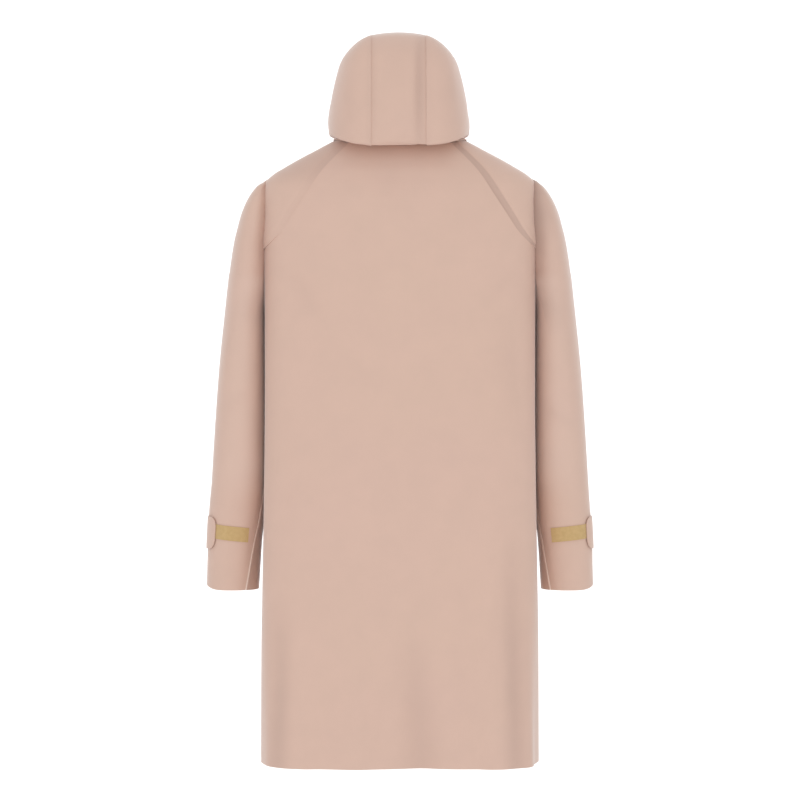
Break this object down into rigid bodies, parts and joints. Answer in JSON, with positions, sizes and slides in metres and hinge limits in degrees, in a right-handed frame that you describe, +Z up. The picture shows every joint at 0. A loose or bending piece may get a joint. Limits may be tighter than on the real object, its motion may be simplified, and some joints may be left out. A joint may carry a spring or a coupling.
{
  "type": "hooded long coat",
  "caption": "Hollow hooded raincoat with raglan sleeves, tabbed cuffs and a straight hem, filled out as if worn.",
  "frame": {"origin": "middle of the neck opening, level with the tops of the shoulders, where a wearer holds the coat up", "axes": "+Z up, -Y the way the coat faces, +X the wearer's left"},
  "size_m": [0.6832, 0.2569, 1.2648],
  "materials": {
    "coat_cloth": "smooth matte bonded cloth",
    "loop_tape": "dense short loop pile"
  },
  "bodies": {
    "root": {"back": "coat_cloth", "front_left": "coat_cloth", "front_right": "coat_cloth", "sleeve_left": "coat_cloth", "sleeve_right": "coat_cloth", "hood_centre": "coat_cloth", "hood_side_left": "coat_cloth", "hood_side_right": "coat_cloth", "cuff_tab_left": "coat_cloth", "cuff_tab_right": "coat_cloth", "cuff_strip_left": "loop_tape", "cuff_strip_right": "loop_tape"}
  },
  "joints": []
}
